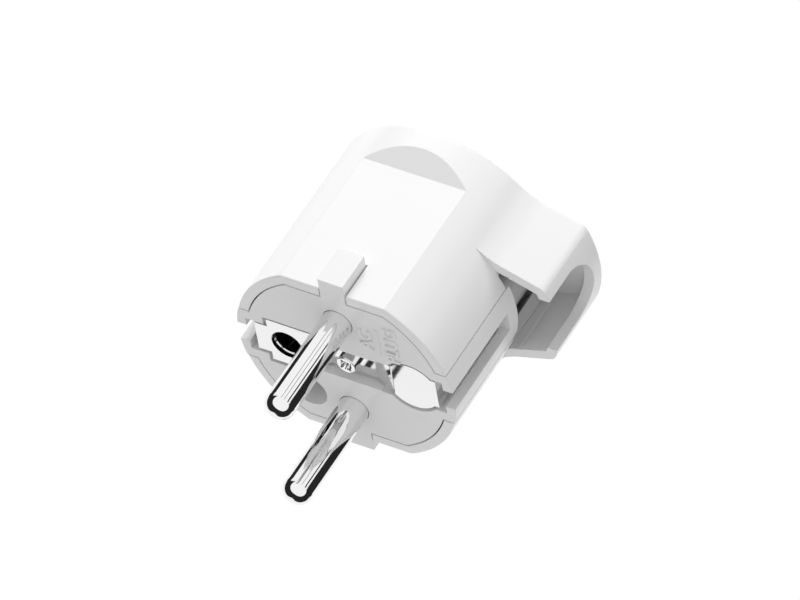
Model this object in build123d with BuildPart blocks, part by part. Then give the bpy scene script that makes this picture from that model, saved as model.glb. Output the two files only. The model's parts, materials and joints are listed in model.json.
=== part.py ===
from build123d import *
import os
from math import atan2, cos, radians, sin, sqrt, tan

# Rewirable two-pin plug with earth contacts and a cord outlet on its side.
# Millimetres. The back face lies at z = 0 and the pins point up along +Z.
# The cord leaves towards +X, and the two flats face +Y and -Y.

# Spacing of the pins, set by the sockets that the plug fits
pin_spacing = 19.0

# Round body of the housing
body_depth = 32.0
pin_to_flat = 6.5
flat_depth = 2.2
wall = 1.65
back_wall = 1.6
ramp_top = 7.0
ramp_foot = 3.7
back_round = 0.3
rim_round = 0.25

# Cord hood on the side of the housing
hood_front = 13.6
hood_projection = 7.2
hood_bulge = 1.5
hood_root_half = 12.64
hood_neck_run = 4.0
hood_neck_half = 9.95
hood_end_half = 7.6
hood_corner = 1.2
mouth_radius = 5.3
mouth_sill = 0.8
cord_passage_half = 8.0

# Play between the carrier and the housing
fit = 0.2

# Contact carrier
plate_thickness = 3.6
skirt_wall = 1.2
skirt_foot = 14.0
lug_half = 5.25
lug_foot = 12.8
lug_depth = 5.2
tab_half = 2.1
tab_inset = 0.2
tab_length = 6.5
clip_slot_half = 1.8
clip_slot_length = 16.75
clip_skin = 1.7
partition_thickness = 1.0
partition_offset = 4.9
partition_length = 7.9
partition_start = -4.5
partition_end = 12.0
post_radius = 2.6

# Contact pins
pin_radius = 2.4
pin_length = 19.0
pin_tip_round = 2.0
pin_flange_radius = 3.0
pin_flange_thickness = 1.0
pin_neck_radius = 2.0
pin_play = 0.05

# Terminals on the pins and on the earth sleeve
tail_radius = 1.6
tail_length = 3.0
terminal_side = 6.4
terminal_height = 8.0
terminal_edge = 0.4
terminal_play = 0.2
wire_hole_radius = 1.5
wire_hole_depth = 4.2
wire_screw_height = 2.0
cup_wall = 1.0
cup_depth = 4.4

# Earth bracket, a folded strip with a contact leg on each side
strip = 0.8
strip_gap = 0.5
plate_sink = 0.15
middle_sink = 1.6
leg_inset = 3.0
leg_length = 15.8
leg_half = 2.8
groove_depth = 1.6
bend = 0.5
earth_plate_half = 4.35
earth_inset = 5.2
earth_plate_lead = 3.0
earth_plate_share = 0.56
middle_half = 2.6
middle_start_share = 0.38
middle_end_share = 0.42
round_plate_radius = 4.4
round_plate_share = 1.1
round_start_share = 0.78
earth_hole_radius = 2.65

# Sleeve that takes the earth pin of the socket
sleeve_bore = 2.45
sleeve_wall = 0.5
sleeve_length = 15.0
sleeve_floor = 1.0
sleeve_slit = 0.6
sleeve_slit_length = 9.0
sleeve_slit_start = 2.5
sleeve_play = 0.4
spring_thickness = 0.28
spring_height = 3.0
spring_drop = 9.0
spring_mouth = 1.6
earth_terminal_side = 5.7

# Insulating plate that keeps the pins in the carrier
retainer_thickness = 1.6
retainer_half_width = 3.2
retainer_overhang = 3.1
retainer_wire_radius = 1.9

# Screws
screw_play = 0.15
slot_width = 0.7
slot_depth = 0.7
head_bevel = 0.35
centre_shank = 1.0
centre_head = 1.6
centre_head_height = 1.6
nut_side = 4.6
nut_height = 1.8
nut_end = 0.6
wire_screw_shank = 1.2
wire_screw_head = 1.9
wire_screw_head_height = 1.6
wire_screw_tip = 1.6
body_screw_inset = 6.72
body_screw_angle = 48.9
body_screw_shank = 1.45
body_screw_head = 2.75
body_screw_head_height = 2.2
body_screw_reach = 7.0
recess_radius = 3.05
recess_wall = 1.0
recess_floor = 2.0
insert_radius = 2.4
insert_length = 8.0
boss_wall = 1.4

# Cord clamp
clamp_inset = 7.4
clamp_spacing = 14.8
clamp_boss_radius = 2.6
clamp_boss_top = 7.5
clamp_width = 5.4
clamp_thickness = 2.4
clamp_arch_inner = 3.6
clamp_arch_rise = 2.2
clamp_shank = 1.2
clamp_head = 2.2
clamp_head_height = 1.6
clamp_screw_foot = 2.4
cord_ridge_count = 3
cord_ridge_pitch = 1.8
cord_ridge_height = 0.9
cord_ridge_half = 4.0

# Ribs that the carrier stands on
rib_x = 6.0
rib_thickness = 1.6

# Places, heights and radii that follow from the sizes above
flat_half = pin_spacing / 2 + pin_to_flat
body_radius = flat_half + flat_depth
inner_radius = body_radius - wall
inner_flat = flat_half - wall
ramp_angle = atan2(body_radius - flat_half, ramp_top - ramp_foot)
ramp_shift = wall * tan(ramp_angle / 2)
plate_back = body_depth - plate_thickness
plate_top = body_depth - plate_sink
plate_under = plate_top - strip
middle_top = body_depth - middle_sink
middle_under = middle_top - strip
pin_tip = body_depth + pin_length
flange_foot = plate_back - pin_flange_thickness
terminal_foot = flange_foot - terminal_height
retainer_foot = terminal_foot - retainer_thickness
nut_foot = retainer_foot - nut_height
sleeve_radius = sleeve_bore + sleeve_wall
sleeve_foot = plate_under - sleeve_length
partition_foot = plate_back - partition_length
lug_inner = body_radius - lug_depth
tab_reach = body_radius - tab_inset
retainer_half_length = pin_spacing / 2 + retainer_overhang
leg_reach = body_radius - leg_inset
earth_offset = leg_reach - earth_inset
earth_x = -earth_offset
earth_plate_start = earth_x - earth_plate_lead
earth_plate_end = -earth_plate_share * earth_offset
middle_start = -middle_start_share * earth_offset
middle_end = middle_end_share * earth_offset
round_plate_start = round_start_share * earth_offset
round_plate_x = round_plate_share * earth_offset
body_screw_orbit = body_radius - body_screw_inset
body_screw_x = -body_screw_orbit * cos(radians(body_screw_angle))
body_screw_y = -body_screw_orbit * sin(radians(body_screw_angle))
clamp_x = body_radius - clamp_inset
mouth_z = back_wall + mouth_sill + mouth_radius
recess_seat = skirt_foot + recess_floor
hood_reach = body_radius + hood_projection
hood_root = (sqrt(body_radius**2 - hood_root_half**2), hood_root_half)
hood_neck = (hood_root[0] + hood_neck_run, hood_neck_half)
hood_end = (hood_reach - hood_bulge, hood_end_half)
over = 1.0


def flatted_drum(radius, flat, bottom, top, high, low):
    """A round drum with two flats, each ending in a ramp near the back."""
    with BuildPart() as drum:
        with BuildSketch(Plane.XY.offset(bottom)):
            Circle(radius)
        extrude(amount=top - bottom)
        with BuildSketch(Plane.YZ):
            with BuildLine():
                Polyline(
                    (flat, top),
                    (flat, high),
                    (radius, low),
                    (radius + over, low),
                    (radius + over, top),
                    close=True,
                )
            make_face()
            mirror(about=Plane.YZ)
        extrude(amount=radius, both=True, mode=Mode.SUBTRACT)
    return drum.part


def hood_block(inset, bottom, top):
    """The hood's outline, flared from the drum, drawn in by an inset."""
    with BuildPart() as block:
        with BuildSketch(Plane.XY.offset(bottom)) as outline:
            with BuildLine():
                Line((0, 0), (0, hood_root[1]))
                Line((0, hood_root[1]), hood_root)
                TangentArc(hood_root, hood_neck, tangent=(hood_root[1], -hood_root[0]))
                Line(hood_neck, hood_end)
                TangentArc((hood_reach, 0), hood_end, tangent=(0, 1))
                mirror(about=Plane.XZ)
            make_face()
            fillet(outline.vertices().group_by(Axis.X)[-2], radius=hood_corner)
            if inset > 0:
                offset(amount=-inset, kind=Kind.INTERSECTION, mode=Mode.REPLACE)
        extrude(amount=top - bottom)
    return block.part


def screw(under_head, shank, length, head, head_height):
    """A round-headed screw. The plane lies under the head and faces out of it."""
    with BuildPart() as made:
        with BuildSketch(under_head):
            Circle(head)
        extrude(amount=head_height)
        outward = Axis(under_head.origin, under_head.z_dir)
        chamfer(made.faces().sort_by(outward)[-1].edges(), length=head_bevel)
        with BuildSketch(under_head):
            Circle(shank)
        extrude(amount=-length)
        with BuildSketch(under_head.offset(head_height - slot_depth)):
            Rectangle(2 * head, slot_width)
        extrude(amount=slot_depth, mode=Mode.SUBTRACT)
    return made.part


def terminal(x, y, foot, height, side):
    """A brass block: a tail sits in its top, a wire and its screw below."""
    with BuildPart() as block:
        with BuildSketch(Plane.XY.offset(foot)):
            with Locations((x, y)):
                RectangleRounded(side, side, terminal_edge)
        extrude(amount=height)
        with BuildSketch(Plane.XY.offset(foot + height - tail_length)):
            with Locations((x, y)):
                Circle(tail_radius)
        extrude(amount=tail_length, mode=Mode.SUBTRACT)
        with BuildSketch(Plane.XY.offset(foot)):
            with Locations((x, y)):
                Circle(wire_hole_radius)
        extrude(amount=wire_hole_depth, mode=Mode.SUBTRACT)
        with BuildSketch(Plane.YZ.offset(x)):
            with Locations((y, foot + wire_screw_height)):
                Circle(wire_screw_shank)
        extrude(amount=side / 2, mode=Mode.SUBTRACT)
    return block.part


def wire_screw(x, y, foot, side):
    """The screw that presses the wire in a terminal."""
    seat = Plane(origin=(x + side / 2, y, foot + wire_screw_height), z_dir=(1, 0, 0))
    length = side / 2 - (wire_hole_radius - wire_screw_tip) - wire_hole_radius
    return screw(seat, wire_screw_shank, length, wire_screw_head, wire_screw_head_height)


def contact_pin(y):
    """A turned pin with a flange behind the carrier's plate and a tail for its terminal."""
    upright = Plane(origin=(0, y, 0), x_dir=(1, 0, 0), z_dir=(0, -1, 0))
    shoulder = pin_tip - pin_tip_round
    crown = pin_radius - pin_tip_round
    with BuildPart() as pin:
        with BuildSketch(upright):
            with BuildLine():
                Polyline(
                    (crown, pin_tip),
                    (0, pin_tip),
                    (0, flange_foot - tail_length),
                    (tail_radius, flange_foot - tail_length),
                    (tail_radius, flange_foot),
                    (pin_flange_radius, flange_foot),
                    (pin_flange_radius, plate_back),
                    (pin_neck_radius, plate_back),
                    (pin_neck_radius, body_depth),
                    (pin_radius, body_depth),
                    (pin_radius, shoulder),
                )
                CenterArc((crown, shoulder), pin_tip_round, 0, 90)
            make_face()
        revolve(axis=Axis((0, y, 0), (0, 0, 1)))
    return pin.part


def bracket_plan(gap, bottom, top):
    """The earth bracket's outline from above, widened by a gap."""
    with BuildPart() as plan:
        with BuildSketch(Plane.XY.offset(bottom)):
            Rectangle(2 * (leg_reach + gap), 2 * (leg_half + gap))
            Rectangle(-2 * earth_plate_end, 4 * body_radius, mode=Mode.SUBTRACT)
            Rectangle(2 * (round_plate_start + gap), 2 * (middle_half + gap))
            with Locations(((earth_plate_start + earth_plate_end) / 2, 0)):
                Rectangle(earth_plate_end - earth_plate_start + 2 * gap, 2 * (earth_plate_half + gap))
            with Locations((round_plate_x, 0)):
                Circle(round_plate_radius + gap)
        extrude(amount=top - bottom)
    return plan.part


# Solids that the housing and the carrier are cut from
drum = flatted_drum(body_radius, flat_half, 0, body_depth, ramp_top, ramp_foot)
drum_bore = flatted_drum(
    inner_radius, inner_flat, back_wall, body_depth, ramp_top - ramp_shift, ramp_foot - ramp_shift
)

with BuildPart() as hood_hollow:
    add(hood_block(wall, back_wall, hood_front))
    with BuildSketch(Plane.XY.offset(back_wall)):
        Circle(body_radius)
    extrude(amount=hood_front, mode=Mode.SUBTRACT)

# Housing
with BuildPart() as housing:
    add(drum)
    fillet(housing.faces().sort_by(Axis.Z)[-1].edges(), radius=rim_round)
    add(hood_block(0, 0, hood_front))
    fillet(housing.faces().sort_by(Axis.Z)[0].edges(), radius=back_round)
    add(hood_hollow.part, mode=Mode.SUBTRACT)
    add(drum_bore, mode=Mode.SUBTRACT)
    # Windows for the carrier's lugs
    with BuildSketch(Plane.XY.offset(lug_foot - fit)):
        Rectangle(2 * body_radius, 2 * lug_half)
    extrude(amount=body_depth, mode=Mode.SUBTRACT)
    # Passage for the cord from the hood into the drum
    with BuildSketch(Plane.XY.offset(back_wall)):
        with Locations((body_radius / 2, 0)):
            Rectangle(body_radius, 2 * cord_passage_half)
    extrude(amount=hood_front - back_wall, mode=Mode.SUBTRACT)
    # Slots for the guide tabs
    with BuildSketch(Plane.XY.offset(body_depth - tab_length - fit)):
        Rectangle(2 * (tab_half + fit), 2 * body_radius)
    extrude(amount=tab_length + over, mode=Mode.SUBTRACT)
    # Mouth of the cord hood, open towards the front
    with BuildSketch(Plane.YZ.offset(hood_reach - hood_bulge - wall - over)):
        with Locations((0, mouth_z)):
            Circle(mouth_radius)
        with Locations((0, (mouth_z + hood_front) / 2)):
            Rectangle(2 * mouth_radius, hood_front - mouth_z)
    extrude(amount=hood_bulge + wall + 2 * over, mode=Mode.SUBTRACT)
    # Boss that holds the threaded insert and carries the carrier's screw column
    with BuildSketch(Plane.XY.offset(back_wall)):
        with Locations((body_screw_x, body_screw_y)):
            Circle(insert_radius + boss_wall)
    extrude(amount=skirt_foot - back_wall)
    with BuildSketch(Plane.XY.offset(skirt_foot - insert_length)):
        with Locations((body_screw_x, body_screw_y)):
            Circle(insert_radius)
    extrude(amount=insert_length, mode=Mode.SUBTRACT)
    # Ribs that the carrier's skirt stands on
    with BuildSketch(Plane.XY.offset(back_wall)):
        with GridLocations(2 * rib_x, 2 * inner_flat, 2, 2):
            Rectangle(rib_thickness, 2 * skirt_wall + fit)
    extrude(amount=skirt_foot - back_wall)
    # Bosses and gripping ridges of the cord clamp
    with BuildSketch(Plane.XY.offset(back_wall)):
        with Locations((clamp_x, 0)):
            with GridLocations(0, clamp_spacing, 1, 2):
                Circle(clamp_boss_radius)
    extrude(amount=clamp_boss_top - back_wall)
    with BuildSketch(Plane.XY.offset(clamp_screw_foot)):
        with Locations((clamp_x, 0)):
            with GridLocations(0, clamp_spacing, 1, 2):
                Circle(clamp_shank)
    extrude(amount=clamp_boss_top - clamp_screw_foot, mode=Mode.SUBTRACT)
    for step in range(cord_ridge_count):
        ridge_x = clamp_x + (step - (cord_ridge_count - 1) / 2) * cord_ridge_pitch
        with BuildSketch(Plane.XZ):
            with Locations((ridge_x, back_wall)):
                Triangle(a=cord_ridge_pitch, b=cord_ridge_height * sqrt(2), c=cord_ridge_height * sqrt(2))
        extrude(amount=cord_ridge_half, both=True)
housing.part.label = "housing"

# Contact carrier: face plate, skirt, lugs and tabs in one moulding
with BuildPart() as contact_carrier:
    with BuildSketch(Plane.XY.offset(skirt_foot)):
        Circle(inner_radius - fit)
        Rectangle(2 * body_radius, 2 * (inner_flat - fit), mode=Mode.INTERSECT)
    extrude(amount=body_depth - skirt_foot)
    with BuildSketch(Plane.XY.offset(skirt_foot)):
        Circle(inner_radius - fit - skirt_wall)
        Rectangle(2 * body_radius, 2 * (inner_flat - fit - skirt_wall), mode=Mode.INTERSECT)
    extrude(amount=plate_back - skirt_foot, mode=Mode.SUBTRACT)
    # Side lugs, flush with the housing
    with BuildSketch(Plane.XY.offset(lug_foot)):
        Circle(body_radius)
        Rectangle(2 * body_radius, 2 * (lug_half - fit), mode=Mode.INTERSECT)
        Rectangle(2 * lug_inner, 2 * body_radius, mode=Mode.SUBTRACT)
    extrude(amount=body_depth - lug_foot)
    # Guide tabs
    with BuildSketch(Plane.XY.offset(body_depth - tab_length)):
        with GridLocations(0, inner_flat + tab_reach - skirt_wall, 1, 2):
            Rectangle(2 * tab_half, tab_reach - inner_flat + skirt_wall)
    extrude(amount=tab_length)
    # Screw column, centre post, terminal cups and partitions behind the plate
    with BuildSketch(Plane.XY.offset(skirt_foot)):
        with Locations((body_screw_x, body_screw_y)):
            Circle(recess_radius + recess_wall)
    extrude(amount=plate_back - skirt_foot)
    with BuildSketch(Plane.XY.offset(terminal_foot)):
        Circle(post_radius)
    extrude(amount=plate_back - terminal_foot)
    with BuildSketch(Plane.XY.offset(plate_back - cup_depth)):
        with GridLocations(0, pin_spacing, 1, 2):
            RectangleRounded(
                terminal_side + 2 * (terminal_play + cup_wall),
                terminal_side + 2 * (terminal_play + cup_wall),
                terminal_edge + cup_wall,
            )
    extrude(amount=cup_depth)
    with BuildSketch(Plane.XY.offset(partition_foot)):
        with Locations(((partition_start + partition_end) / 2, 0)):
            with GridLocations(0, 2 * partition_offset, 1, 2):
                Rectangle(partition_end - partition_start, partition_thickness)
    extrude(amount=plate_back - partition_foot)
    with BuildSketch(Plane.XY.offset(partition_foot)):
        with GridLocations(0, pin_spacing, 1, 2):
            Rectangle(terminal_side + 2 * terminal_play, terminal_side + 2 * terminal_play)
    extrude(amount=partition_length, mode=Mode.SUBTRACT)
    # Holes for the pins, the earth sleeve, the centre screw and the housing screw
    with BuildSketch(Plane.XY.offset(plate_back)):
        with GridLocations(0, pin_spacing, 1, 2):
            Circle(pin_radius + pin_play)
    extrude(amount=plate_thickness, mode=Mode.SUBTRACT)
    with BuildSketch(Plane.XY.offset(lug_foot)):
        with Locations((earth_x, 0)):
            Circle(sleeve_radius + sleeve_play)
    extrude(amount=body_depth - lug_foot, mode=Mode.SUBTRACT)
    with BuildSketch(Plane.XY.offset(terminal_foot)):
        Circle(centre_shank + screw_play)
    extrude(amount=body_depth - terminal_foot, mode=Mode.SUBTRACT)
    with BuildSketch(Plane.XY.offset(recess_seat)):
        with Locations((body_screw_x, body_screw_y)):
            Circle(recess_radius)
    extrude(amount=body_depth - recess_seat, mode=Mode.SUBTRACT)
    with BuildSketch(Plane.XY.offset(skirt_foot)):
        with Locations((body_screw_x, body_screw_y)):
            Circle(body_screw_shank + screw_play)
    extrude(amount=recess_floor, mode=Mode.SUBTRACT)
    # Pocket that the earth bracket lies in, with a deeper channel for its middle
    add(bracket_plan(strip_gap, plate_under, body_depth + over), mode=Mode.SUBTRACT)
    with BuildSketch(Plane.XY.offset(middle_under)):
        with Locations(((round_plate_start + earth_plate_end) / 2, 0)):
            Rectangle(round_plate_start - earth_plate_end + 2 * bend, 2 * (middle_half + strip_gap))
    extrude(amount=middle_sink + strip, mode=Mode.SUBTRACT)
    # Deep grooves beside the wide part of the bracket, where the barbs on its edges bite
    with BuildSketch(Plane.XY.offset(plate_under - groove_depth)):
        with Locations(((earth_plate_start + earth_plate_end) / 2, 0)):
            with GridLocations(0, 2 * earth_plate_half + strip_gap, 1, 2):
                Rectangle(earth_plate_end - earth_plate_start, strip_gap)
    extrude(amount=groove_depth, mode=Mode.SUBTRACT)
    # Channels for the contact legs and the slots where the socket's clips reach them
    with BuildSketch(Plane.XY.offset(body_depth - leg_length - strip_gap)):
        Rectangle(2 * (body_radius - clip_skin), 2 * (leg_half + strip_gap))
        Rectangle(2 * (leg_reach - strip - strip_gap), 2 * body_radius, mode=Mode.SUBTRACT)
    extrude(amount=leg_length + strip_gap, mode=Mode.SUBTRACT)
    with BuildSketch(Plane.XY.offset(body_depth - clip_slot_length)):
        Rectangle(2 * body_radius, 2 * clip_slot_half)
        Rectangle(2 * leg_reach, 2 * body_radius, mode=Mode.SUBTRACT)
    extrude(amount=clip_slot_length, mode=Mode.SUBTRACT)
contact_carrier.part.label = "contact_carrier"

# Line and neutral pins
line_pin = contact_pin(pin_spacing / 2)
line_pin.label = "line_pin"
neutral_pin = contact_pin(-pin_spacing / 2)
neutral_pin.label = "neutral_pin"

# Earth bracket, folded from one strip
with BuildPart() as earth_bracket:
    leg_x = leg_reach - strip / 2
    plate_z = plate_top - strip / 2
    middle_z = middle_top - strip / 2
    with BuildSketch(Plane.XZ):
        with BuildLine():
            FilletPolyline(
                (-leg_x, body_depth - leg_length),
                (-leg_x, plate_z),
                (earth_plate_end + strip / 2, plate_z),
                (middle_start, middle_z),
                (middle_end, middle_z),
                (round_plate_start, plate_z),
                (leg_x, plate_z),
                (leg_x, body_depth - leg_length),
                radius=bend,
            )
        trace(line_width=strip)
    extrude(amount=body_radius, both=True)
    add(bracket_plan(0, 0, body_depth), mode=Mode.INTERSECT)
    with BuildSketch(Plane.XY.offset(middle_under)):
        with Locations((earth_x, 0)):
            Circle(earth_hole_radius)
        Circle(centre_shank + screw_play)
    extrude(amount=body_depth - middle_under, mode=Mode.SUBTRACT)
earth_bracket.part.label = "earth_bracket"

# Sleeve for the earth pin of the socket, slit so that it grips
sleeve_axis = Axis((earth_x, 0, 0), (0, 0, 1))
sleeve_plane = Plane(origin=(earth_x, 0, 0), x_dir=(1, 0, 0), z_dir=(0, -1, 0))
with BuildPart() as earth_sleeve:
    with BuildSketch(sleeve_plane):
        with BuildLine():
            Polyline(
                (sleeve_bore, plate_under),
                (sleeve_radius, plate_under),
                (sleeve_radius, sleeve_foot),
                (tail_radius, sleeve_foot),
                (tail_radius, sleeve_foot - tail_length),
                (0, sleeve_foot - tail_length),
                (0, sleeve_foot + sleeve_floor),
                (sleeve_bore, sleeve_foot + sleeve_floor),
                close=True,
            )
        make_face()
    revolve(axis=sleeve_axis)
    with BuildSketch(Plane.XY.offset(sleeve_foot + sleeve_slit_start)):
        with Locations((earth_x, 0)):
            Rectangle(sleeve_slit, 2 * sleeve_radius)
    extrude(amount=sleeve_slit_length, mode=Mode.SUBTRACT)
earth_sleeve.part.label = "earth_sleeve"

# Open spring ring round the sleeve
with BuildPart() as sleeve_spring:
    with BuildSketch(Plane.XY.offset(plate_under - spring_drop)):
        with Locations((earth_x, 0)):
            Circle(sleeve_radius + spring_thickness)
            Circle(sleeve_radius, mode=Mode.SUBTRACT)
        with Locations((earth_x + sleeve_radius, 0)):
            Rectangle(2 * sleeve_radius, spring_mouth, mode=Mode.SUBTRACT)
    extrude(amount=spring_height)
sleeve_spring.part.label = "sleeve_spring"

# Terminals and their screws
line_terminal = terminal(0, pin_spacing / 2, terminal_foot, terminal_height, terminal_side)
line_terminal.label = "line_terminal"
neutral_terminal = terminal(0, -pin_spacing / 2, terminal_foot, terminal_height, terminal_side)
neutral_terminal.label = "neutral_terminal"
earth_terminal_foot = sleeve_foot - terminal_height
earth_terminal = terminal(earth_x, 0, earth_terminal_foot, terminal_height, earth_terminal_side)
earth_terminal.label = "earth_terminal"
line_terminal_screw = wire_screw(0, pin_spacing / 2, terminal_foot, terminal_side)
line_terminal_screw.label = "line_terminal_screw"
neutral_terminal_screw = wire_screw(0, -pin_spacing / 2, terminal_foot, terminal_side)
neutral_terminal_screw.label = "neutral_terminal_screw"
earth_terminal_screw = wire_screw(earth_x, 0, earth_terminal_foot, earth_terminal_side)
earth_terminal_screw.label = "earth_terminal_screw"

# Plate behind the terminals, held by the centre screw and its nut
with BuildPart() as pin_retainer:
    with BuildSketch(Plane.XY.offset(retainer_foot)):
        SlotOverall(2 * retainer_half_length, 2 * retainer_half_width, rotation=90)
        with GridLocations(0, pin_spacing, 1, 2):
            Circle(retainer_wire_radius, mode=Mode.SUBTRACT)
        Circle(centre_shank + screw_play, mode=Mode.SUBTRACT)
    extrude(amount=retainer_thickness)
pin_retainer.part.label = "pin_retainer"

centre_seat = Plane.XY.offset(middle_top)
centre_length = middle_top - nut_foot + nut_end
centre_screw = screw(centre_seat, centre_shank, centre_length, centre_head, centre_head_height)
centre_screw.label = "centre_screw"

with BuildPart() as centre_nut:
    with BuildSketch(Plane.XY.offset(nut_foot)):
        Rectangle(nut_side, nut_side)
        Circle(centre_shank, mode=Mode.SUBTRACT)
    extrude(amount=nut_height)
centre_nut.part.label = "centre_nut"

# Screw that holds the housing on the carrier, and its threaded insert
housing_seat = Plane((body_screw_x, body_screw_y, recess_seat))
housing_length = recess_seat - body_screw_reach
housing_screw = screw(
    housing_seat, body_screw_shank, housing_length, body_screw_head, body_screw_head_height
)
housing_screw.label = "housing_screw"

with BuildPart() as housing_insert:
    with BuildSketch(Plane.XY.offset(skirt_foot - insert_length)):
        with Locations((body_screw_x, body_screw_y)):
            Circle(insert_radius)
            Circle(body_screw_shank, mode=Mode.SUBTRACT)
    extrude(amount=insert_length)
housing_insert.part.label = "housing_insert"

# Cord clamp: an arched bar on two bosses, and its screws
with BuildPart() as cord_clamp_bar:
    with BuildSketch(Plane.XY.offset(clamp_boss_top)):
        with Locations((clamp_x, 0)):
            SlotCenterToCenter(clamp_spacing, clamp_width, rotation=90)
    extrude(amount=clamp_thickness)
    with BuildSketch(Plane.YZ.offset(clamp_x)):
        with Locations((0, clamp_boss_top)):
            Ellipse(clamp_arch_inner + clamp_thickness / 2, clamp_arch_rise + clamp_thickness)
            Rectangle(
                2 * clamp_spacing,
                2 * clamp_spacing,
                align=(Align.CENTER, Align.MAX),
                mode=Mode.SUBTRACT,
            )
    extrude(amount=clamp_width / 2, both=True)
    with BuildSketch(Plane.YZ.offset(clamp_x)):
        with Locations((0, clamp_boss_top)):
            Ellipse(clamp_arch_inner, clamp_arch_rise)
    extrude(amount=clamp_width, both=True, mode=Mode.SUBTRACT)
    with BuildSketch(Plane.XY.offset(clamp_boss_top)):
        with Locations((clamp_x, 0)):
            with GridLocations(0, clamp_spacing, 1, 2):
                Circle(clamp_shank + screw_play)
    extrude(amount=clamp_thickness, mode=Mode.SUBTRACT)
cord_clamp_bar.part.label = "cord_clamp_bar"

clamp_seat = clamp_boss_top + clamp_thickness
clamp_length = clamp_seat - clamp_screw_foot
upper_seat = Plane((clamp_x, clamp_spacing / 2, clamp_seat))
lower_seat = Plane((clamp_x, -clamp_spacing / 2, clamp_seat))
clamp_screw_upper = screw(upper_seat, clamp_shank, clamp_length, clamp_head, clamp_head_height)
clamp_screw_upper.label = "clamp_screw_upper"
clamp_screw_lower = screw(lower_seat, clamp_shank, clamp_length, clamp_head, clamp_head_height)
clamp_screw_lower.label = "clamp_screw_lower"

os.makedirs("parts", exist_ok=True)
pieces = [
    housing.part,
    contact_carrier.part,
    line_pin,
    neutral_pin,
    earth_bracket.part,
    earth_sleeve.part,
    sleeve_spring.part,
    line_terminal,
    neutral_terminal,
    earth_terminal,
    line_terminal_screw,
    neutral_terminal_screw,
    earth_terminal_screw,
    pin_retainer.part,
    centre_screw,
    centre_nut.part,
    housing_screw,
    housing_insert.part,
    cord_clamp_bar.part,
    clamp_screw_upper,
    clamp_screw_lower,
]
for piece in pieces:
    export_step(piece, f"parts/{piece.label}.step")
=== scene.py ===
import json
from math import cos, pi, radians, sin

import bmesh
import bpy
from bpy.props import FloatProperty, FloatVectorProperty, PointerProperty, StringProperty
from mathutils import Matrix, Vector


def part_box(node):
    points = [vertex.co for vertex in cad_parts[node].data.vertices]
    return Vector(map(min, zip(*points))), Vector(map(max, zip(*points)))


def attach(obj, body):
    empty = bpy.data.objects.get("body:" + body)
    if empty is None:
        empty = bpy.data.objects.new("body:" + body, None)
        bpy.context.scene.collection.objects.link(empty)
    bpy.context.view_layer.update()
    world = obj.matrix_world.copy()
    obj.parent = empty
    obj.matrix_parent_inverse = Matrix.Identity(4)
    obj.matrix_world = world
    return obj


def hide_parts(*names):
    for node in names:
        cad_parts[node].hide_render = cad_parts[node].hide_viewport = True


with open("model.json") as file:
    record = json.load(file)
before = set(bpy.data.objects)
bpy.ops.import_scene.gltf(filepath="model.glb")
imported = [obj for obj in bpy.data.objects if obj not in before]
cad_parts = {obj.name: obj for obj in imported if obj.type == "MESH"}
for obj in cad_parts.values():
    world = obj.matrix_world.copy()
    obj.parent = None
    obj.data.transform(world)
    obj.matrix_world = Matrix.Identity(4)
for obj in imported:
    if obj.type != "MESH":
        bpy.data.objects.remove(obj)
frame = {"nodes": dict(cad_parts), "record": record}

bl_info = {
    "name": "Rewirable plug finish",
    "version": (1, 0, 0),
    "blender": (4, 5, 0),
    "location": "3D View > Sidebar > Plug",
    "description": "Finishes, screws, relief lettering and a studio for a rewirable mains plug",
    "category": "Object",
}

MM = 0.001
NODES = frame["nodes"]
FACE_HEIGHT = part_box("contact_carrier")[1].z
CENTRE_SCREW_FOOT, CENTRE_SCREW_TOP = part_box("centre_screw")
BODY_SCREW_FOOT, BODY_SCREW_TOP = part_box("housing_screw")

# Points closer than this are one point
MERGE_DISTANCE = 0.001 * MM
# Faces that meet at more than this angle meet at an edge
EDGE_ANGLE = radians(18)

# Cross recess of a screw, as shares of its head's radius
RECESS_FOOT = 0.3
RECESS_MOUTH = 0.62
RECESS_DEPTH = 0.7
RECESS_SINK = 0.25
WING_LENGTH = 1.5
WING_WIDTH = 0.22
WING_DEPTH = 0.9
WING_SINK = 0.32
WING_TURN = pi / 5

# Steps round a screw, round its recess, round a drum or floor, and over the round of a screw's head
SCREW_STEPS = 48
RECESS_STEPS = 32
ROUND_STEPS = 96
RIM_STEPS = 4

# Height of a capital letter as a share of the font's size
CAPITAL_SHARE = 0.7

# Bearings, in degrees from the sight line, where the room changes between white boards and dark flags
FLAG_BEARINGS = (-113, -49, -36, -27, -3, 0, 21, 23, 80, 113)
# The same over the horizon, by the cosine of the angle from the sight line
FLAG_SHARES = (-0.39, 0.5)
FLAG_SHADE = 0.02
# Heights of a mirrored ray between which the lower boards give way to the upper ones
LOWER_BOARDS = -0.25
UPPER_BOARDS = -0.1
WHITE = (1, 1, 1, 1)


def length(label, about, size):
    """A length that a user can change, from its size in millimetres."""
    return FloatProperty(name=label, description=about, default=size * MM, unit="LENGTH", precision=5)


def angle(label, about, turn):
    """An angle that a user can change, from its size in degrees."""
    return FloatProperty(name=label, description=about, default=radians(turn), unit="ROTATION")


class PlugScrewSizes(bpy.types.PropertyGroup):
    """Sizes of the cross-recessed screws."""

    centre_head: length("Centre head", "Radius of the centre screw's head", 1.6)
    centre_head_height: length("Centre head height", "Height of the centre screw's head", 1.6)
    centre_shank: length("Centre shank", "Radius of the centre screw's shank", 1.0)
    body_head: length("Housing head", "Radius of the housing screw's head", 2.75)
    body_head_height: length("Housing head height", "Height of the housing screw's head", 2.2)
    body_shank: length("Housing shank", "Radius of the housing screw's shank", 1.45)
    rim: length("Head rim", "Radius of the round at the edge of both heads", 0.18)
    pitch: length("Pitch", "Distance from one turn of the thread to the next", 0.45)
    groove: length("Groove", "Depth of the thread's groove", 0.12)


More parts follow.
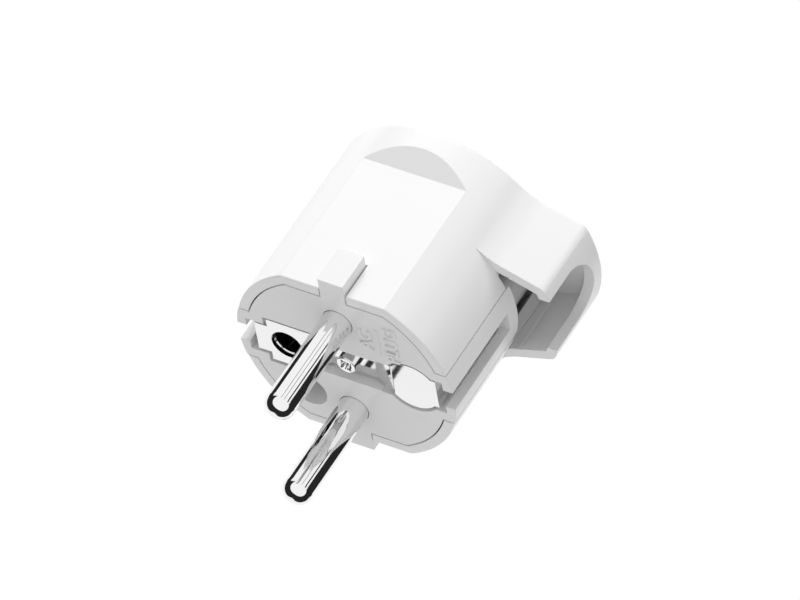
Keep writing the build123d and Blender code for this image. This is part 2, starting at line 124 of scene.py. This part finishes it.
class PlugHoodSizes(bpy.types.PropertyGroup):
    """Sizes of the rounds at the hood's two corners."""

    corner_x: length("Corner place", "Distance of the hood's corners from the centre", 23.9)
    corner_y: length("Corner half width", "Distance of the hood's corners from its middle line", 7.6)
    corner_round: length("Corner round", "Radius of the hood's corners", 1.8)
    bearing: angle("Corner bearing", "Way that a corner points, from the hood's middle line", 46.6)
    half_turn: angle("Half turn", "Half of the angle that a corner's round turns through", 24.25)


class PlugFoldSizes(bpy.types.PropertyGroup):
    """Sizes of the earth bracket's two folds."""

    fold: length("Fold", "Length of the strip on each side of a fold that is squared up", 1.35)
    strip: length("Strip", "Thickness of the bracket's strip", 0.8)
    leg_width: length("Leg width", "Width of the bracket's legs", 5.6)


class PlugMarkSizes(bpy.types.PropertyGroup):
    """Sizes and words of the relief on the contact face."""

    upper_line: StringProperty(name="Upper line", description="Word in the upper line", default="AC")
    lower_line: StringProperty(name="Lower line", description="Word in the lower line", default="PLUG")
    letter: length("Letter", "Height of a capital letter", 2.1)
    relief: length("Relief", "Height of the letters over the face", 0.3)
    letter_edge: length("Letter edge", "Bevel at the letters' edges", 0.04)
    upper_x: length("Upper line place", "Distance of the upper line from the centre", 5.6)
    upper_y: length("Upper line middle", "Middle of the upper line along the face", 8.0)
    lower_x: length("Lower line place", "Distance of the lower line from the centre", 9.9)
    lower_y: length("Lower line middle", "Middle of the lower line along the face", 8.3)
    bar_x: length("Bar place", "Distance of the dividing bar from the centre", 6.6)
    bar_y: length("Bar middle", "Middle of the dividing bar along the face", 8.0)
    bar_length: length("Bar length", "Length of the dividing bar", 5.6)
    bar_width: length("Bar width", "Width of the dividing bar", 0.4)
    bar_edge: length("Bar edge", "Bevel at the bar's edges", 0.06)


class PlugColours(bpy.types.PropertyGroup):
    """Colours of the plug, as sRGB hex codes."""

    housing: StringProperty(name="Housing", description="Moulded housing", default="F1F1F1")
    carrier: StringProperty(name="Carrier", description="Moulded contact carrier", default="EFEFEF")
    clamp: StringProperty(name="Clamp", description="Cord clamp and retainer", default="E4E3E0")
    nickel: StringProperty(name="Nickel", description="Plating of the pins and the bracket", default="F2F2F2")
    brass: StringProperty(name="Brass", description="Terminal blocks and insert", default="D9B56A")
    zinc: StringProperty(name="Zinc", description="Zinc on the steel screws", default="C9CCD0")
    stage: StringProperty(name="Stage", description="Floor of the studio", default="F4F4F4")


class PlugStudio(bpy.types.PropertyGroup):
    """Camera, lamps, tent and floor of the studio."""

    target: FloatVectorProperty(
        name="Target",
        description="Point that the camera looks at",
        default=(3.97 * MM, 5.1 * MM, 21.42 * MM),
        unit="LENGTH",
    )
    azimuth: angle("Azimuth", "Bearing of the camera", 61.289)
    elevation: angle("Elevation", "Height of the camera over the floor", 32.62)
    roll: angle("Roll", "Turn about the line of sight", -145.266)
    distance: length("Distance", "From the camera to the target", 1313)
    focal_length: FloatProperty(
        name="Focal length", description="Lens, in millimetres", default=405, subtype="DISTANCE_CAMERA"
    )
    sensor: FloatProperty(
        name="Sensor", description="Sensor width, in millimetres", default=36, subtype="DISTANCE_CAMERA"
    )
    sight_end: length("End of sight", "Distance at which the camera stops seeing", 20000)
    ambient: FloatProperty(name="Ambient", description="Strength of the light tent's walls", default=0.5)
    ceiling: FloatProperty(
        name="Ceiling", description="Light of the tent's ceiling as a share of its walls'", default=1.52
    )
    key: FloatProperty(name="Key", description="Lamp under the light table", default=9.8, unit="POWER")
    key_place: FloatVectorProperty(
        name="Key place", description="Place of the key lamp", default=(-0.216, 0.906, -0.756), unit="LENGTH"
    )
    key_size: length("Key size", "Side of the key lamp", 600)
    side: FloatProperty(name="Side", description="Lamp beside the hood", default=0.35, unit="POWER")
    side_place: FloatVectorProperty(
        name="Side place", description="Place of the side lamp", default=(0.64, -0.36, 0.24), unit="LENGTH"
    )
    side_size: length("Side size", "Side of the side lamp", 400)
    floor_radius: length("Floor radius", "Radius of the floor", 3000)
    floor_gap: length("Floor gap", "Air between the floor and the plug", 0.05)
    floor_glow: FloatProperty(name="Floor glow", description="Strength of the floor's own glow", default=1.11)
    glow_share: FloatProperty(
        name="Glow share",
        description="How far the glow covers the paper's own shade",
        default=0.8,
        min=0,
        max=1,
        subtype="FACTOR",
    )


def linear(hex_colour):
    """A colour for a shader, from its sRGB hex code."""
    parts = [int(hex_colour[i : i + 2], 16) / 255 for i in (0, 2, 4)]
    return (*[c / 12.92 if c <= 0.04045 else ((c + 0.055) / 1.055) ** 2.4 for c in parts], 1.0)


def node(tree, kind, settings=None, links=None, values=None):
    """Adds a node with its settings, its links from other nodes' outputs and its sockets' values."""
    made = tree.nodes.new(kind)
    for name, value in (settings or {}).items():
        setattr(made, name, value)
    for name, value in (values or {}).items():
        made.inputs[name].default_value = value
    for name, source in (links or {}).items():
        tree.links.new(source, made.inputs[name])
    return made


def fresh_material(name):
    """A material with an empty node tree."""
    material = bpy.data.materials.new(name)
    material.use_nodes = True
    material.node_tree.nodes.clear()
    return material, material.node_tree


def noise(tree, place, size, detail):
    """A noise whose grains have about the given size."""
    grain = node(
        tree, "ShaderNodeTexNoise", links={"Vector": place}, values={"Scale": 1 / size, "Detail": detail}
    )
    return grain.outputs["Fac"]


def between(tree, value, low, high):
    """A value from 0 to 1, spread from low to high."""
    spread = node(
        tree, "ShaderNodeMapRange", links={"Value": value}, values={"To Min": low, "To Max": high}
    )
    return spread.outputs["Result"]


def bump(tree, height, strength, depth, under=None):
    """A normal that follows a height, over another normal where there is one."""
    links = {"Height": height}
    if under is not None:
        links["Normal"] = under
    made = node(tree, "ShaderNodeBump", links=links, values={"Strength": strength, "Distance": depth})
    return made.outputs["Normal"]


def surface(tree, roughness, normal, values):
    """The surface's shader, joined to the material's output."""
    shader = node(
        tree, "ShaderNodeBsdfPrincipled", links={"Roughness": roughness, "Normal": normal}, values=values
    )
    node(tree, "ShaderNodeOutputMaterial", links={"Surface": shader.outputs["BSDF"]})


def moulded_plastic(name, colour, roughness, grain, ease):
    """Injection-moulded plastic: polished-mould gloss, a faint waviness in the skin and eased edges."""
    material, tree = fresh_material(name)
    place = node(tree, "ShaderNodeTexCoord").outputs["Object"]
    # Shrinkage over the thick parts leaves slow waves, which bend a long highlight a little
    waves = noise(tree, place, size=5 * MM, detail=1)
    # The polished mould leaves a fine skin, which softens the rim of a highlight
    skin = noise(tree, place, size=0.25 * MM, detail=2)
    # A mould has no knife edges, so each edge catches a thin line of light
    edges = node(tree, "ShaderNodeBevel", values={"Radius": ease}).outputs["Normal"]
    swell = bump(tree, waves, strength=0.04, depth=0.3 * MM, under=edges)
    surface(
        tree,
        roughness=between(tree, skin, roughness - grain, roughness + grain),
        normal=bump(tree, skin, strength=0.03, depth=0.02 * MM, under=swell),
        values={"Base Color": linear(colour), "IOR": 1.5},
    )
    return material


def worked_metal(name, colour, roughness, streak, direction):
    """Metal with the fine streaks that turning, rolling or cutting leaves along one direction."""
    material, tree = fresh_material(name)
    place = node(tree, "ShaderNodeTexCoord").outputs["Object"]
    stretch = node(tree, "ShaderNodeMapping", links={"Vector": place}, values={"Scale": direction})
    # The streaks draw a highlight out across themselves
    lines = noise(tree, stretch.outputs["Vector"], size=streak, detail=3)
    surface(
        tree,
        roughness=between(tree, lines, roughness * 0.6, roughness * 1.4),
        normal=bump(tree, lines, strength=0.05, depth=0.01 * MM),
        values={"Base Color": linear(colour), "Metallic": 1.0},
    )
    return material


def dress(obj, material):
    """Gives an object one material on all its faces."""
    obj.data.materials.clear()
    obj.data.materials.append(material)
    for face in obj.data.polygons:
        face.material_index = 0


def to_object(shape, name):
    """Turns a bmesh into a scene object with outward normals."""
    bmesh.ops.remove_doubles(shape, verts=shape.verts, dist=MERGE_DISTANCE)
    bmesh.ops.recalc_face_normals(shape, faces=shape.faces)
    mesh = bpy.data.meshes.new(name)
    shape.to_mesh(mesh)
    shape.free()
    obj = bpy.data.objects.new(name, mesh)
    bpy.context.scene.collection.objects.link(obj)
    return obj


def copy_of(node_name, name):
    """A merged copy of a CAD node's mesh, to be worked on."""
    shape = bmesh.new()
    shape.from_mesh(NODES[node_name].data)
    return to_object(shape, name)


def evaluated_mesh(obj):
    """The mesh that an object shows, with its modifiers applied."""
    bpy.context.view_layer.update()
    return bpy.data.meshes.new_from_object(obj.evaluated_get(bpy.context.evaluated_depsgraph_get()))


def combine(obj, tool, operation="DIFFERENCE"):
    """Cuts a closed shape out of an object, or joins it on, and keeps the result as its mesh."""
    cutter = to_object(tool, "cutter")
    cut = obj.modifiers.new("cut", "BOOLEAN")
    cut.operation = operation
    cut.solver = "EXACT"
    cut.object = cutter
    result = evaluated_mesh(obj)
    obj.modifiers.clear()
    obj.data = result
    bpy.data.objects.remove(cutter)


def block(middle, size, turn=0.0):
    """A block of the given size about its middle, turned about the upright."""
    shape = bmesh.new()
    place = Matrix.Translation(middle) @ Matrix.Rotation(turn, 4, "Z")
    bmesh.ops.create_cube(shape, size=1, matrix=place @ Matrix.Diagonal((*size, 1)))
    return shape


def cone(middle, foot, mouth, height, steps):
    """An upright cone or drum about its middle, from its radius at the foot to that at the mouth."""
    shape = bmesh.new()
    bmesh.ops.create_cone(
        shape,
        cap_ends=True,
        segments=steps,
        radius1=foot,
        radius2=mouth,
        depth=height,
        matrix=Matrix.Translation(middle),
    )
    return shape


def smooth(obj):
    """Smooths all faces but those that meet at an edge."""
    # Cutting spoils the normals that came with a CAD mesh, so they are worked out anew
    obj.data.attributes.remove(obj.data.attributes["custom_normal"])
    obj.data.shade_smooth()
    obj.data.set_sharp_from_angle(angle=EDGE_ANGLE)
    weigh = obj.modifiers.new("weigh", "WEIGHTED_NORMAL")
    weigh.keep_sharp = True


def finish(obj, node_name):
    """Lets a new piece stand for a CAD node: hangs it on the root body and hides the node."""
    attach(obj, "root")
    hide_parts(node_name)


def spin_profile(shape, points, centre, steps):
    """Turns a profile of (radius, height) points about an upright line."""
    corners = [shape.verts.new((centre.x + r, centre.y, z)) for r, z in points]
    edges = [shape.edges.new(pair) for pair in zip(corners, corners[1:])]
    bmesh.ops.spin(
        shape,
        geom=corners + edges,
        cent=centre,
        axis=(0, 0, 1),
        angle=2 * pi,
        steps=steps,
        use_merge=True,
    )


def thread(sizes, foot, seat, shank):
    """Profile of a threaded shank, from its foot up to the head's seat."""
    profile = [(0, foot)]
    turns = int((seat - foot) / sizes.pitch) - 1
    for turn in range(turns):
        z = foot + turn * sizes.pitch
        profile += [(shank - sizes.groove, z), (shank, z + sizes.pitch / 2)]
    profile += [(shank - sizes.groove, foot + turns * sizes.pitch), (shank, seat)]
    return profile


def cross_screw(name, sizes, foot, top, head, head_height, shank):
    """A screw with a rounded head, a cross recess and a threaded shank, in the box from foot to top."""
    centre = Vector(((foot.x + top.x) / 2, (foot.y + top.y) / 2, 0))
    seat = top.z - head_height
    profile = thread(sizes, foot.z, seat, shank)
    profile += [(head, seat), (head, top.z - sizes.rim)]
    for step in range(1, RIM_STEPS + 1):
        lean = step * pi / 2 / RIM_STEPS
        profile.append((head - sizes.rim + sizes.rim * cos(lean), top.z - sizes.rim + sizes.rim * sin(lean)))
    profile.append((0, top.z))
    shape = bmesh.new()
    spin_profile(shape, profile, centre, SCREW_STEPS)
    screw = to_object(shape, name)
    middle = Vector((centre.x, centre.y, top.z - head * RECESS_SINK))
    combine(screw, cone(middle, head * RECESS_FOOT, head * RECESS_MOUTH, head * RECESS_DEPTH, RECESS_STEPS))
    middle.z = top.z - head * WING_SINK
    for turn in (WING_TURN, WING_TURN + pi / 2):
        combine(screw, block(middle, (head * WING_LENGTH, head * WING_WIDTH, head * WING_DEPTH), turn))
    return screw


def corner_wedge(sizes, side, top):
    """What lies between the hood's sharp corner and its round: a block less a drum."""
    radius = sizes.corner_round
    outward = Vector((cos(sizes.bearing), side * sin(sizes.bearing), 0))
    corner = Vector((sizes.corner_x, side * sizes.corner_y, top / 2))
    middle = corner - outward * radius / cos(sizes.half_turn)
    chord = radius * cos(sizes.half_turn)
    outer = middle + outward * (chord + radius / 2)
    wedge = to_object(block(outer, (radius, 2 * radius, 2 * top), side * sizes.bearing), "wedge")
    combine(wedge, cone(middle, radius, radius, 3 * top, ROUND_STEPS))
    shape = bmesh.new()
    shape.from_mesh(wedge.data)
    bpy.data.objects.remove(wedge)
    return shape


def word(text, sizes, x, y):
    """Raised letters that read along +Y, as a mesh on the contact face."""
    curve = bpy.data.curves.new("word", "FONT")
    curve.body = text
    curve.size = sizes.letter / CAPITAL_SHARE
    curve.extrude = sizes.relief
    curve.bevel_depth = sizes.letter_edge
    curve.bevel_resolution = 2
    curve.align_x = "CENTER"
    curve.align_y = "BOTTOM_BASELINE"
    holder = bpy.data.objects.new("word", curve)
    bpy.context.scene.collection.objects.link(holder)
    mesh = evaluated_mesh(holder)
    bpy.data.objects.remove(holder)
    mesh.transform(Matrix.Translation((x, y, FACE_HEIGHT)) @ Matrix.Rotation(pi / 2, 4, "Z"))
    return mesh


class PLUG_OT_finishes(bpy.types.Operator):
    """Give every CAD node the finish of its real material"""

    bl_idname = "plug.finishes"
    bl_label = "Finishes"

    def execute(self, context):
        colours = context.scene.plug_colours
        finishes = {
            # Polished mould: soft, clear highlights on clean white
            "housing_plastic": moulded_plastic(
                "housing_white_polyamide", colours.housing, roughness=0.24, grain=0.03, ease=0.2 * MM
            ),
            # The carrier comes from a plainer mould, so its highlights are wider
            "carrier_plastic": moulded_plastic(
                "carrier_white_polyamide", colours.carrier, roughness=0.32, grain=0.04, ease=0.08 * MM
            ),
            # Hidden parts come from a blasted mould and look dull
            "clamp_plastic": moulded_plastic(
                "clamp_dull_polyamide", colours.clamp, roughness=0.5, grain=0.05, ease=0.2 * MM
            ),
            # Turned brass pins, nickel plated and polished, mirror their room
            "pin_plating": worked_metal(
                "turned_nickel_plating",
                colours.nickel,
                roughness=0.05,
                streak=0.06 * MM,
                direction=(0.1, 0.1, 1),
            ),
            # Rolled strip, nickel plated: a mirror with faint streaks along its length
            "bracket_plating": worked_metal(
                "rolled_nickel_plating",
                colours.nickel,
                roughness=0.09,
                streak=0.08 * MM,
                direction=(0.05, 1, 1),
            ),
            # Sawn and drilled brass with a satin face
            "terminal_brass": worked_metal(
                "sawn_brass", colours.brass, roughness=0.3, streak=0.15 * MM, direction=(1, 1, 0.1)
            ),
            # Zinc on steel scatters more than nickel
            "screw_steel": worked_metal(
                "zinc_on_steel", colours.zinc, roughness=0.28, streak=0.1 * MM, direction=(1, 1, 1)
            ),
        }
        for part in frame["record"]["subparts"]:
            dress(NODES[part["node"]], finishes[part["material_slot"]])
        return {"FINISHED"}


class PLUG_OT_screws(bpy.types.Operator):
    """Make the two screws whose heads can be seen from the front"""

    bl_idname = "plug.screws"
    bl_label = "Cross-recessed screws"

    def execute(self, context):
        sizes = context.scene.plug_screws
        centre = cross_screw(
            "centre_cross_screw",
            sizes,
            CENTRE_SCREW_FOOT,
            CENTRE_SCREW_TOP,
            sizes.centre_head,
            sizes.centre_head_height,
            sizes.centre_shank,
        )
        dress(centre, bpy.data.materials["rolled_nickel_plating"])
        finish(centre, "centre_screw")
        body = cross_screw(
            "housing_cross_screw",
            sizes,
            BODY_SCREW_FOOT,
            BODY_SCREW_TOP,
            sizes.body_head,
            sizes.body_head_height,
            sizes.body_shank,
        )
        dress(body, bpy.data.materials["zinc_on_steel"])
        finish(body, "housing_screw")
        return {"FINISHED"}


class PLUG_OT_hood(bpy.types.Operator):
    """Round the two upright corners at the end of the cord hood"""

    bl_idname = "plug.hood"
    bl_label = "Hood corners"

    def execute(self, context):
        sizes = context.scene.plug_hood
        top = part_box("housing")[1].z
        housing = copy_of("housing", "rounded_housing")
        for side in (1, -1):
            combine(housing, corner_wedge(sizes, side, top))
        smooth(housing)
        dress(housing, bpy.data.materials["housing_white_polyamide"])
        finish(housing, "housing")
        return {"FINISHED"}


class PLUG_OT_bracket(bpy.types.Operator):
    """Square up the outer edges of the earth bracket's two folds"""

    bl_idname = "plug.bracket"
    bl_label = "Bracket folds"

    def execute(self, context):
        sizes = context.scene.plug_folds
        foot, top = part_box("earth_bracket")
        bracket = copy_of("earth_bracket", "folded_bracket")
        for side, reach in ((1, top.x), (-1, foot.x)):
            for along, down in ((sizes.fold, sizes.strip), (sizes.strip, sizes.fold)):
                middle = Vector((reach - side * along / 2, 0, top.z - down / 2))
                combine(bracket, block(middle, (along, sizes.leg_width, down)), "UNION")
        smooth(bracket)
        dress(bracket, bpy.data.materials["rolled_nickel_plating"])
        finish(bracket, "earth_bracket")
        return {"FINISHED"}


class PLUG_OT_markings(bpy.types.Operator):
    """Raise a plain two-line relief on the contact face"""

    bl_idname = "plug.markings"
    bl_label = "Relief lettering"

    def execute(self, context):
        sizes = context.scene.plug_marks
        shape = bmesh.new()
        shape.from_mesh(word(sizes.upper_line, sizes, sizes.upper_x, sizes.upper_y))
        shape.from_mesh(word(sizes.lower_line, sizes, sizes.lower_x, sizes.lower_y))
        bar = bmesh.ops.create_cube(
            shape,
            size=1,
            matrix=Matrix.Translation((sizes.bar_x, sizes.bar_y, FACE_HEIGHT))
            @ Matrix.Diagonal((sizes.bar_width, sizes.bar_length, 2 * sizes.relief, 1)),
        )
        edges = {edge for vert in bar["verts"] for edge in vert.link_edges}
        bmesh.ops.bevel(
            shape,
            geom=list(edges),
            offset=sizes.bar_edge,
            affect="EDGES",
            segments=2,
            profile=0.5,
            material=-1,
        )
        relief = to_object(shape, "face_relief")
        dress(relief, bpy.data.materials["carrier_white_polyamide"])
        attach(relief, "root")
        return {"FINISHED"}


class PLUG_OT_stage(bpy.types.Operator):
    """Set the light table, the soft light and the camera"""

    bl_idname = "plug.stage"
    bl_label = "Studio"

    def execute(self, context):
        studio = context.scene.plug_studio
        self.lay_floor(studio, context.scene.plug_colours.stage)
        self.light_world(studio)
        self.hang_lamps(studio)
        self.place_camera(studio)
        context.scene.view_settings.view_transform = "Standard"
        return {"FINISHED"}

    def lay_floor(self, studio, colour):
        """A wide light table of pale paper that shows the plug's soft shadow."""
        shape = bmesh.new()
        bmesh.ops.create_circle(
            shape,
            cap_ends=True,
            segments=ROUND_STEPS,
            radius=studio.floor_radius,
            matrix=Matrix.Translation((0, 0, -studio.floor_gap)),
        )
        floor = to_object(shape, "studio_floor")
        material, tree = fresh_material("studio_paper")
        path = node(tree, "ShaderNodeLightPath").outputs
        seen = self.either(tree, path["Is Camera Ray"], path["Is Glossy Ray"])
        share = node(
            tree, "ShaderNodeMath", {"operation": "MULTIPLY"}, links={0: seen}, values={1: studio.glow_share}
        )
        paper = node(tree, "ShaderNodeBsdfDiffuse", values={"Color": linear(colour)})
        glow = node(tree, "ShaderNodeEmission", values={"Color": WHITE, "Strength": studio.floor_glow})
        mix = self.mixed(tree, share.outputs[0], paper, glow)
        node(tree, "ShaderNodeOutputMaterial", links={"Surface": mix.outputs[0]})
        dress(floor, material)
        # Mirrors see the room's boards and not the floor
        floor.visible_glossy = False
        # The key lamp shines up through the paper
        floor.visible_shadow = False

    def light_world(self, studio):
        """A tent of light, which the camera sees as white and a mirror as boards and flags."""
        world = bpy.data.worlds.new("light_tent")
        bpy.context.scene.world = world
        world.use_nodes = True
        tree = world.node_tree
        tree.nodes.clear()
        path = node(tree, "ShaderNodeLightPath").outputs
        way = node(tree, "ShaderNodeTexCoord").outputs["Generated"]
        height = node(tree, "ShaderNodeSeparateXYZ", links={"Vector": way}).outputs["Z"]
        # The tent's ceiling is brighter than its walls
        strength = between(tree, height, studio.ambient, studio.ambient * studio.ceiling)
        tent = node(tree, "ShaderNodeBackground", links={"Strength": strength}, values={"Color": WHITE})
        room = node(
            tree,
            "ShaderNodeBackground",
            links={"Color": self.mirrored_room(tree, studio, way, height)},
            values={"Strength": 1},
        )
        white = node(tree, "ShaderNodeBackground", values={"Color": WHITE, "Strength": 1})
        lit = self.mixed(tree, path["Is Glossy Ray"], tent, room)
        clear = self.either(tree, path["Is Camera Ray"], path["Is Transmission Ray"])
        mix = self.mixed(tree, clear, lit, white)
        node(tree, "ShaderNodeOutputWorld", links={"Surface": mix.outputs[0]})

    def either(self, tree, first, second):
        """1 for a ray of either kind."""
        return node(tree, "ShaderNodeMath", {"operation": "MAXIMUM"}, {0: first, 1: second}).outputs[0]

    def mixed(self, tree, share, first, second):
        """The first shader, or as far as the share goes the second."""
        return node(
            tree, "ShaderNodeMixShader", links={"Fac": share, 1: first.outputs[0], 2: second.outputs[0]}
        )

    def mirrored_room(self, tree, studio, way, height):
        """Boards and flags by a mirrored ray's bearing low in the room, and by its slant above."""
        sight = self.sight_line(studio)
        ahead = Vector((sight.x, sight.y, 0)).normalized()
        across = Vector((-ahead.y, ahead.x, 0))
        dot = {"operation": "DOT_PRODUCT"}
        forward, sideways, along = (
            node(tree, "ShaderNodeVectorMath", dot, {0: way}, {1: line}).outputs["Value"]
            for line in (ahead, across, sight)
        )
        bearing = node(tree, "ShaderNodeMath", {"operation": "ARCTAN2"}, {0: sideways, 1: forward})
        turn = node(
            tree,
            "ShaderNodeMapRange",
            links={"Value": bearing.outputs[0]},
            values={"From Min": -pi, "From Max": pi},
        )
        lower = self.boards(tree, turn.outputs[0], [(degrees + 180) / 360 for degrees in FLAG_BEARINGS])
        slant = node(tree, "ShaderNodeMapRange", links={"Value": along}, values={"From Min": -1})
        upper = self.boards(tree, slant.outputs[0], [(share + 1) / 2 for share in FLAG_SHARES])
        level = node(
            tree,
            "ShaderNodeMapRange",
            links={"Value": height},
            values={"From Min": LOWER_BOARDS, "From Max": UPPER_BOARDS},
        )
        # Sockets 6 and 7 of this node take its two colours, and output 2 gives their mix
        room = node(
            tree, "ShaderNodeMix", {"data_type": "RGBA"}, {"Factor": level.outputs[0], 6: lower, 7: upper}
        )
        return room.outputs[2]

    def boards(self, tree, value, edges):
        """White boards and dark flags in turn, changing at each edge along a value from 0 to 1."""
        ramp = node(tree, "ShaderNodeValToRGB", links={"Fac": value})
        stops = ramp.color_ramp
        stops.interpolation = "CONSTANT"
        stops.elements.remove(stops.elements[1])
        stops.elements[0].color = WHITE
        for count, edge in enumerate(edges):
            shade = 1 if count % 2 else FLAG_SHADE
            stops.elements.new(edge).color = (shade, shade, shade, 1)
        return ramp.outputs["Color"]

    def sight_line(self, studio):
        """The direction from the target to the camera."""
        return Vector(
            (
                cos(studio.elevation) * cos(studio.azimuth),
                cos(studio.elevation) * sin(studio.azimuth),
                sin(studio.elevation),
            )
        )

    def hang_lamps(self, studio):
        """A large soft lamp under the light table and a smaller one beside the hood."""
        aim = Vector(studio.target)
        for name, place, size, power in (
            ("key_lamp", Vector(studio.key_place), studio.key_size, studio.key),
            ("side_lamp", Vector(studio.side_place), studio.side_size, studio.side),
        ):
            lamp = bpy.data.lights.new(name, "AREA")
            lamp.size = size
            lamp.energy = power
            holder = bpy.data.objects.new(name, lamp)
            facing = (place - aim).to_track_quat("Z", "Y").to_matrix().to_4x4()
            holder.matrix_world = Matrix.Translation(place) @ facing
            # The camera sees the background through a lamp, and mirrors see only the room's boards
            holder.visible_camera = False
            holder.visible_glossy = False
            bpy.context.scene.collection.objects.link(holder)

    def place_camera(self, studio):
        """The camera at its bearing, height and roll about the target."""
        sight = self.sight_line(studio)
        data = bpy.data.cameras.new("camera")
        data.lens = studio.focal_length
        data.sensor_width = studio.sensor
        data.clip_end = studio.sight_end
        camera = bpy.data.objects.new("camera", data)
        place = Matrix.Translation(Vector(studio.target) + studio.distance * sight)
        facing = sight.to_track_quat("Z", "Y").to_matrix().to_4x4()
        camera.matrix_world = place @ facing @ Matrix.Rotation(studio.roll, 4, "Z")
        bpy.context.scene.collection.objects.link(camera)
        bpy.context.scene.camera = camera


class PLUG_PT_panel(bpy.types.Panel):
    """Lists the steps that finish the plug"""

    bl_label = "Plug"
    bl_idname = "PLUG_PT_panel"
    bl_space_type = "VIEW_3D"
    bl_region_type = "UI"
    bl_category = "Plug"

    def draw(self, context):
        for step in OPERATORS:
            self.layout.operator(step.bl_idname)
        for group in GROUPS:
            settings = getattr(context.scene, group)
            for name in settings.bl_rna.properties.keys():
                if name not in ("rna_type", "name"):
                    self.layout.prop(settings, name)


GROUPS = {
    "plug_colours": PlugColours,
    "plug_screws": PlugScrewSizes,
    "plug_hood": PlugHoodSizes,
    "plug_folds": PlugFoldSizes,
    "plug_marks": PlugMarkSizes,
    "plug_studio": PlugStudio,
}
OPERATORS = (
    PLUG_OT_finishes,
    PLUG_OT_screws,
    PLUG_OT_hood,
    PLUG_OT_bracket,
    PLUG_OT_markings,
    PLUG_OT_stage,
)


def register():
    for group in GROUPS.values():
        bpy.utils.register_class(group)
    for step in OPERATORS:
        bpy.utils.register_class(step)
    bpy.utils.register_class(PLUG_PT_panel)
    for name, group in GROUPS.items():
        setattr(bpy.types.Scene, name, PointerProperty(type=group))


def unregister():
    for name in GROUPS:
        delattr(bpy.types.Scene, name)
    bpy.utils.unregister_class(PLUG_PT_panel)
    for step in reversed(OPERATORS):
        bpy.utils.unregister_class(step)
    for group in reversed(list(GROUPS.values())):
        bpy.utils.unregister_class(group)


def main():
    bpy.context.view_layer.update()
    register()
    bpy.ops.plug.finishes()
    bpy.ops.plug.screws()
    bpy.ops.plug.hood()
    bpy.ops.plug.bracket()
    bpy.ops.plug.markings()
    bpy.ops.plug.stage()


if __name__ == "__main__":
    main()
